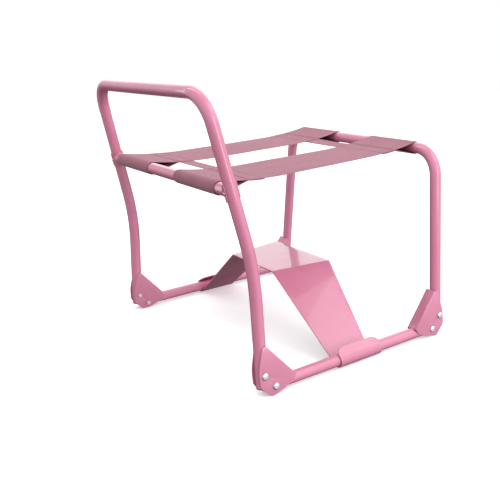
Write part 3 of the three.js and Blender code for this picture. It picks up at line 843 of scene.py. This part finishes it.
def add_saddle_screws():
    """Small pan heads with a cross recess."""
    profile = [(0, -SCREW_LENGTH), (SCREW_RADIUS - 0.5, -SCREW_LENGTH)]
    profile += threaded_shank(SCREW_RADIUS, 0.25, -1.5, -SCREW_LENGTH + 0.4)
    profile += [(SCREW_RADIUS, -1), (SCREW_RADIUS, GAP)]
    profile += dome(SCREW_HEAD_RADIUS, SCREW_HEAD_HEIGHT, GAP, 8)
    vertices, faces = lathe(profile, 32)
    top = GAP + SCREW_HEAD_HEIGHT
    long, wide, deep = 1.7, 0.35, 1.2
    cross = ((long, wide), (wide, long))
    recess = [block((-x, -y, top - deep), (x, y, top + 1)) for x, y in cross]
    for side, name in SIDES:
        frame_of_saddle = saddle_matrix(side)
        for index, wing in enumerate((-1, 1)):
            angle = wing * SADDLE_SCREW_ANGLE
            way = Vector((math.cos(angle), math.sin(angle), 0))
            seat = frame_of_saddle @ (way * (TUBE_RADIUS + GAP + SHEET))
            matrix = axis_matrix(seat, frame_of_saddle.to_3x3() @ way)
            matrix = matrix @ Matrix.Rotation(0.5 + 0.9 * index, 4, "Z")
            cutters = [(placed(points, matrix), sides) for points, sides in recess]
            mesh = bevelled(placed(vertices, matrix), faces, 0, cutters=cutters)
            stand_in(f"saddle_screw_{name}_{index + 1}", "cross_head", mesh, ZINC, 35)


def add_plugs():
    """Ribbed plastic plugs in the cut ends of the legs."""
    insert = TUBE_RADIUS - TUBE_WALL - GAP
    rim, rounding = TUBE_RADIUS - 0.2, 1.4
    groove = insert - 0.6
    profile = [(0, -1.5), (3, -1.55), (3.4, -1.8), (rim - rounding, -1.8)]
    for angle in quarter_turn(4)[1:]:
        radius = rim - rounding + rounding * math.sin(angle)
        profile.append((radius, -0.4 - rounding * math.cos(angle)))
    profile += [(rim, -GAP), (groove, -GAP)]
    for z in (1.5, 4.5, 7.5, 10.5):
        profile += [(groove, z), (insert, z + 0.4), (insert, z + 1), (groove, z + 1.4)]
    profile += [(groove, 14), (0, 14)]
    vertices, faces = lathe(profile, 48)
    for corner in CORNERS:
        foot = corner["leg"](corner["side"], FOOT_Z)
        matrix = axis_matrix(foot, corner["leg"](corner["side"], KNEE_Z) - foot)
        mesh = new_mesh(placed(vertices, matrix), faces)
        stand_in(f"leg_plug_{corner['name']}", "ribbed", mesh, PLASTIC, 40)


# ---- Bridge plate --------------------------------------------------------------------


def plate_rail(edge):
    """One edge of the plate's middle surface on the +Y side: x, y, z, up y, up z."""
    radius = TUBE_RADIUS + PLATE_CLEARANCE + PLATE_THICKNESS / 2
    fold_z = PLATE_TOP_Z - PLATE_THICKNESS / 2
    dy, dz = edge["fold_y"] - FLOOR_TUBE_Y, fold_z - FLOOR_TUBE_Z
    touch = math.atan2(dz, dy) + math.acos(radius / math.hypot(dy, dz))
    fall = 2 * math.pi - (touch + math.pi / 2)
    tangent = PLATE_FOLD_RADIUS * math.tan(fall / 2)
    stations = []
    fold_steps, slope_steps, wrap_steps = 8, 12, 48
    for k in range(fold_steps + 1):
        angle = fall * k / fold_steps
        y = edge["fold_y"] - tangent + PLATE_FOLD_RADIUS * math.sin(angle)
        z = fold_z - PLATE_FOLD_RADIUS * (1 - math.cos(angle))
        stations.append((edge["fold_x"], y, z, math.sin(angle), math.cos(angle)))
    start = stations[-1]
    end_y = FLOOR_TUBE_Y + radius * math.cos(touch)
    end_z = FLOOR_TUBE_Z + radius * math.sin(touch)
    end = (edge["tube_x"], end_y, end_z, *start[3:])
    stations += [tuple(p) for p in np.linspace(start, end, slope_steps + 1)[1:-1]]
    outwards = math.copysign(1, edge["fold_x"])
    for k in range(wrap_steps + 1):
        angle = touch + math.pi * k / wrap_steps
        widen = min(1.0, 2 * k / wrap_steps)
        x = edge["tube_x"] + (edge["hook_x"] - edge["tube_x"]) * widen
        y = FLOOR_TUBE_Y + radius * math.cos(angle)
        z = FLOOR_TUBE_Z + radius * math.sin(angle)
        stations.append((x, y, z, -math.cos(angle), -math.sin(angle)))
    _, hook_y, hook_z, up_y, up_z = stations[-1]
    for turn in quarter_turn(16)[1:]:
        along = FLAP_LENGTH - FLAP_CORNER * (1 - math.sin(turn))
        x = edge["hook_x"] - outwards * FLAP_CORNER * (1 - math.cos(turn))
        stations.append((x, hook_y + along * up_z, hook_z - along * up_y, up_y, up_z))
    return stations


def add_bridge_plate():
    rails = []
    for edge in (PLATE_LEFT, PLATE_RIGHT):
        far = plate_rail(edge)
        near = [(x, -y, z, -up_y, up_z) for x, y, z, up_y, up_z in far][::-1]
        level = np.linspace(near[-1], far[0], 11)[1:-1]
        rails.append(np.array([*near, *level, *far]))
    left, right = rails
    columns = 13
    points = np.zeros((len(left), columns, 3))
    normals = np.zeros_like(points)
    for j in range(columns):
        t = j / (columns - 1)
        row = left + (right - left) * t
        points[:, j] = row[:, :3]
        up = row[:, 3:] / np.linalg.norm(row[:, 3:], axis=1, keepdims=True)
        normals[:, j, 1:] = up
    vertices, faces = thick_sheet(points, normals, PLATE_THICKNESS)
    mesh = bevelled(vertices, faces, 0.5)
    stand_in("bridge_plate", "folded", mesh, SHEET_PAINT, 40, "bridge")


# ---- Seat sling ----------------------------------------------------------------------

WEB = 1.25  # thickness of one layer of webbing
LAYER_GAP = 0.1
LOOP_INNER = 12.95
TAIL = 67.6  # bar centre to the end of the layer that is turned back
TOP_LEVEL = (WEB + LAYER_GAP) / 2
SETTLE = 150  # bar centre to where the seat has come down to its level
LOOP_MIDDLE = LOOP_INNER + WEB / 2
LOOP_START_ANGLE, LOOP_END_ANGLE = math.radians(-77), math.radians(-281)
LOOP_BELOW, LOOP_ABOVE = -0.35, 0.1
LEAVING_SLOPE = math.tan(math.radians(-11))
SLIDE_NEAR, SLIDE_FAR = 10, 6  # how far the sling slides along the bars
BAND_THICKNESS = 1.4
STITCH_LENGTH, STITCH_THICKNESS, STITCH_PITCH = 2.6, 0.75, 3.6
SEAM_MARGIN = 3  # from a row of stitches to the webbing's edge


def sling_matrix():
    """From the sling's own x, along the seat from the crossbar, to the frame's."""
    tilt = Matrix.Rotation(-SLING_TILT, 4, "Y")
    return Matrix.Translation((CROSSBAR_X, 0, CROSSBAR_Z)) @ tilt


def half_width(distance):
    """The sling's half width at a distance from the crossbar."""
    share = min(1.0, max(0.0, distance / SLING_SPAN))
    return STRAP_OUTER_CROSSBAR + (STRAP_OUTER_LOW_BAR - STRAP_OUTER_CROSSBAR) * share


def low_bar_drop(y):
    """How far the low hoop's bar has bent down at a distance across the stool."""
    corner_y = leg_y(LOW_BAR_Z)
    turn = math.pi / 2 - LEAN
    straight = corner_y - LOW_BAR_RADIUS * math.tan(turn / 2)
    over = max(0.0, abs(y) - straight)
    return LOW_BAR_RADIUS - math.sqrt(max(0.0, LOW_BAR_RADIUS**2 - over**2))


def smooth_step(t):
    t = min(1.0, max(0.0, t))
    return t * t * (3 - 2 * t)


def loop_radius(drop):
    """A loop's middle radius; it is wider where the bar bends and is cut at a slant."""
    return LOOP_MIDDLE + TUBE_RADIUS * drop / (LOW_BAR_RADIUS - drop)


def top_height(x, drop):
    """Height of a strap's top layer at a distance from the bar it has looped around."""
    start_x = loop_radius(drop) * math.cos(LOOP_END_ANGLE)
    start_z = LOOP_ABOVE - drop + loop_radius(drop) * math.sin(LOOP_END_ANGLE)
    length = SETTLE - start_x
    t = min(1.0, (x - start_x) / length)
    start_share = 2 * t**3 - 3 * t**2 + 1
    slope_share = t**3 - 2 * t**2 + t
    settled = (1 - start_share) * TOP_LEVEL
    return start_share * start_z + slope_share * length * LEAVING_SLOPE + settled


def cloth_height(x, y):
    """Height of the top layer anywhere on the seat, from the crossbar to the low hoop."""
    if x < SLING_SPAN / 2:
        return top_height(x, 0.0)
    return top_height(SLING_SPAN - x, low_bar_drop(y))


def loop_line(drop, hang):
    """Half a strap's lengthwise line at one bar: from the tail, around it, to the seat.

    The bar's axis is at the origin and the seat is towards +x. The bar has bent down by
    the drop, and the loop's underside leaves room for it to hang further.
    """
    under = WEB + LAYER_GAP
    radius = loop_radius(drop)
    points = []
    for k in range(5):
        x = TAIL - (TAIL - LOOP_JOIN) * k / 4
        points.append((x, top_height(x, drop) - under))
    join = points[-1]
    below, above = LOOP_BELOW - hang, LOOP_ABOVE - drop
    touch_x = radius * math.cos(LOOP_START_ANGLE)
    touch_z = below + radius * math.sin(LOOP_START_ANGLE)
    for k in range(1, 9):
        t = k / 9
        x = join[0] + (touch_x - join[0]) * t
        z = join[1] + (touch_z - join[1]) * (0.75 * t + 0.25 * smooth_step(t))
        points.append((x, z))
    steps = 40
    for k in range(steps + 1):
        t = k / steps
        angle = LOOP_START_ANGLE + (LOOP_END_ANGLE - LOOP_START_ANGLE) * t
        level = below + (above - below) * smooth_step(t)
        points.append((radius * math.cos(angle), level + radius * math.sin(angle)))
    start_x, steps = points[-1][0], 24
    for k in range(1, steps + 1):
        x = start_x + (SETTLE - start_x) * k / steps
        points.append((x, top_height(x, drop)))
    return points


def strap_line(y):
    """A strap's whole lengthwise line at a distance across the stool."""
    drop = low_bar_drop(y)
    slid_drop = low_bar_drop(y + (SLIDE_FAR if y > 0 else -SLIDE_NEAR))
    hang = slid_drop + loop_radius(slid_drop) - loop_radius(drop)
    crossbar_end = loop_line(0.0, 0.0)
    low_end = [(SLING_SPAN - x, z) for x, z in loop_line(drop, hang)][::-1]
    start, end = crossbar_end[-1], low_end[0]
    middle = [tuple(p) for p in np.linspace(start, end, 31)[1:-1]]
    return crossbar_end + middle + low_end


def line_normals(line):
    """Unit normals of a line in the plane, on the seat's upper side."""
    line = np.array(line)
    along = np.gradient(line, axis=0)
    normals = np.stack([-along[:, 1], along[:, 0]], axis=1)
    return normals / np.linalg.norm(normals, axis=1, keepdims=True)


def add_cloth(node, points, normals, thickness, coords):
    """A closed piece of webbing with soft edges and a UV map in metres."""
    edge = np.ones((*points.shape[:2], 1))
    edge[:, [0, -1]] = 0.55
    edge[:, [1, -2]] = 0.92
    vertices, faces = thick_sheet(points, normals, thickness * edge)
    mesh = new_mesh(placed(vertices, sling_matrix()), faces)
    uv = mesh.uv_layers.new(name="cloth")
    both = np.vstack([coords.reshape(-1, 2)] * 2) * MM
    corners = np.zeros(len(mesh.loops), np.int32)
    mesh.loops.foreach_get("vertex_index", corners)
    uv.data.foreach_set("uv", both[corners].astype(np.float32).ravel())
    return stand_in(node, "webbing", mesh, WEBBING, 50, "seat_sling")


def stitch_shape():
    """One stitch: a short thread that rises from the cloth and dives back."""
    rings, sides = 7, 6
    vertices = []
    for i in range(rings):
        t = i / (rings - 1)
        x = (t - 0.5) * STITCH_LENGTH
        arch = math.sin(math.pi * t)
        lift = STITCH_THICKNESS * (0.75 * arch - 0.25)
        radius = STITCH_THICKNESS * (0.35 + 0.15 * arch)
        vertices += [(x, y, lift + z) for y, z, _ in circle(radius, 0, sides)]
    faces = grid_faces(rings, sides, closed=True)[:-sides]
    faces.append(tuple(range(sides))[::-1])
    faces.append(tuple(range((rings - 1) * sides, rings * sides)))
    return vertices, faces


def add_stitches(rows):
    """Rows of stitches that follow the cloth."""
    unit, unit_faces = stitch_shape()
    vertices, faces = [], []
    to_world = sling_matrix()
    for start, end, lift, facing in rows:
        start, end = Vector((*start, 0)), Vector((*end, 0))
        way = (end - start).normalized()
        normal = Vector((0, 0, facing))
        across = normal.cross(way)
        for k in range(int((end - start).length / STITCH_PITCH)):
            centre = start + way * (k + 0.5) * STITCH_PITCH
            centre.z = cloth_height(centre.x, centre.y) + lift
            sway = 0.12 * noise.noise(centre * 0.31)
            base = len(vertices)
            for x, y, z in unit:
                point = centre + way * x + across * (y + sway) + normal * z
                vertices.append(to_world @ point)
            faces += [tuple(base + i for i in f) for f in unit_faces]
    add_piece("loop_stitching", new_mesh(vertices, faces), THREAD, 60, "seat_sling")


def seam_rows(side):
    """Rows of thread across a strap at both loops, and boxes around the bands' ends.

    A row is (start, end, lift, facing); lift is measured from the top layer's middle.
    """
    top = WEB / 2
    tail = -LAYER_GAP - 1.5 * WEB
    band = -WEB / 2 - LAYER_GAP - BAND_THICKNESS
    start, end = BAND_START + SEAM_MARGIN, BAND_START + BAND_WIDTH - SEAM_MARGIN
    rows = []

    def sew(row_start, row_end, below):
        rows.append((row_start, row_end, top, 1))
        rows.append((row_start, row_end, below, -1))

    for from_bar in (LOOP_JOIN + 0.6, LOOP_JOIN + 2.6, start, end):
        below = tail if from_bar < BAND_START else band
        for x in (from_bar, SLING_SPAN - from_bar):
            inner = SLING_Y + side * (STRAP_INNER + SEAM_MARGIN)
            outer = SLING_Y + side * (half_width(x) - SEAM_MARGIN)
            sew((x, inner), (x, outer), below)
    for low, high in ((start, end), (SLING_SPAN - end, SLING_SPAN - start)):
        outer = half_width((low + high) / 2) - SEAM_MARGIN
        for across in (STRAP_INNER + SEAM_MARGIN, outer):
            y = SLING_Y + side * across
            sew((low, y), (high, y), band)
    return rows


def add_sling():
    """Both straps with their seams."""
    columns = 26
    shares = sorted({*(j / (columns - 1) for j in range(columns)), 0.008, 0.992})
    stitches = []
    for side, name in SIDES:
        lines = []
        for share in shares:
            across = STRAP_INNER + (STRAP_OUTER_LOW_BAR - STRAP_INNER) * share
            lines.append(strap_line(SLING_Y + side * across))
        points = np.zeros((len(lines[0]), len(shares), 3))
        normals = np.zeros_like(points)
        coords = np.zeros((*points.shape[:2], 2))
        for j, (share, line) in enumerate(zip(shares, lines)):
            flat = np.array(line)
            steps = np.linalg.norm(np.diff(flat, axis=0), axis=1)
            run = np.concatenate([[0], np.cumsum(steps)])
            up = line_normals(line)
            for i, (x, z) in enumerate(line):
                across = STRAP_INNER + (half_width(x) - STRAP_INNER) * share
                y = SLING_Y + side * across
                from_bars = min(x, SLING_SPAN - x)
                seat = smooth_step((from_bars - BAND_START - BAND_WIDTH) / 40)
                wave = 0.45 * noise.noise(Vector((x * 0.012, y * 0.03, 3.0 + side)))
                curl = 0.5 * (2 * share - 1) ** 6
                z += seat * (wave - curl)
                points[i, j] = (x, y, z)
                normals[i, j] = (up[i, 0], 0, up[i, 1])
                coords[i, j] = (run[i], y)
        strap = add_cloth(f"strap_{name}", points, normals, WEB, coords)
        stitches += seam_rows(side)
    add_stitches(stitches)


def add_cross_bands():
    drop = (WEB + BAND_THICKNESS) / 2 + LAYER_GAP
    for name, middle in (
        ("cross_band_tall", BAND_START + BAND_WIDTH / 2),
        ("cross_band_low", SLING_SPAN - BAND_START - BAND_WIDTH / 2),
    ):
        half = half_width(middle) + 1.5
        rows, columns = 64, 12
        points = np.zeros((rows, columns, 3))
        normals = np.zeros_like(points)
        normals[..., 2] = 1
        coords = np.zeros((rows, columns, 2))
        for i in range(rows):
            y = -half + 2 * half * i / (rows - 1)
            open_gap = smooth_step((STRAP_INNER - abs(y)) / 30)
            for j in range(columns):
                x = middle + BAND_WIDTH * (j / (columns - 1) - 0.5)
                z = cloth_height(x, SLING_Y + y) - drop - 0.4 * open_gap
                points[i, j] = (x, SLING_Y + y, z)
                coords[i, j] = (y, x)
        band = add_cloth(name, points, normals, BAND_THICKNESS, coords)


# ---- Stage and lights ----------------------------------------------------------------


def add_floor():
    """A round sheet of paper, in metres."""
    reach, rings = 6.0, 24
    profile = [(reach * i / rings, 0) for i in range(rings + 1)]
    vertices, faces = lathe(profile, 64)
    mesh = new_mesh(vertices, [f[::-1] for f in faces], 1)
    s = new_material("floor_paper")
    cloud = s.noise(s.place, 2, 2)
    s.set(
        Base_Color=s.ramp(cloud, (0.3, (0.93, 0.93, 0.935)), (0.7, (0.95, 0.95, 0.955))),
        Roughness=0.9,
        Specular_IOR_Level=0.1,
        Emission_Color=(1, 1, 1, 1),
        Emission_Strength=0.3,
    )
    mesh.materials.append(s.owner)
    floor = new_object("floor", mesh)
    floor.visible_diffuse = floor.visible_glossy = False


def add_light(name, place, aim, size, power):
    data = bpy.data.lights.new(name, "AREA")
    data.shape, data.size, data.size_y = "RECTANGLE", size[0], size[1]
    data.energy = power
    light = new_object(name, data)
    light.location = place
    way = Vector(aim) - Vector(place)
    light.rotation_euler = way.to_track_quat("-Z", "Y").to_euler()


def studio_world():
    """A soft box of a room: bright to the right and behind, dim to the left and below."""
    world = bpy.data.worlds.new("studio")
    bpy.context.scene.world = world
    s = Shader(world, "Background")
    lobes = [
        ((0, 0, 1), (-0.25, 0.3), (0.06, 0.78)),
        ((0.5, -0.85, 0.15), (0, 1), (0, 0.85)),
        ((0.5, 0.8, 0.40), (0.8, 1), (0, 0.95)),
        ((-1, 0.1, 0.1), (0.3, 1), (0, 0.36)),
    ]
    glow = None
    for way, (start, end), (low, high) in lobes:
        inputs = {0: s.coordinates["Generated"], 1: Vector(way).normalized()}
        facing = s.add("ShaderNodeVectorMath", inputs, operation="DOT_PRODUCT")
        level = s.spread(facing.outputs["Value"], low, high, start, end, "SMOOTHSTEP")
        glow = s.math("ADD", glow, level) if glow else level
    to_camera = s.add("ShaderNodeLightPath", {}).outputs["Is Camera Ray"]
    seen = s.add("ShaderNodeMix", {"Factor": to_camera, "A": glow, "B": 1.0})
    s.set(Color=(1, 1, 1, 1), Strength=seen.outputs["Result"])


def add_lights():
    studio_world()
    add_light("key", (0.85, -0.88, 1.55), (0.62, -0.03, 0.0), (1.5, 0.7), 5)
    add_light("side", (0.5, -2.3, 0.8), (0, 0, 0.25), (0.5, 1.2), 11)
    add_light("top", (-0.5, 0.6, 2.2), (0, 0, 0.3), (0.25, 2.0), 7)
    add_light("rim", (-1.1, 1.3, 0.6), (0, 0, 0.3), (0.15, 1.4), 1.5)


# ---- Everything ----------------------------------------------------------------------

bpy.context.scene.view_settings.view_transform = "Standard"
add_tubes()
add_crossbar()
add_saddles()
add_brackets()
add_bolts()
add_saddle_screws()
add_plugs()
add_bridge_plate()
add_sling()
add_cross_bands()
add_floor()
add_lights()
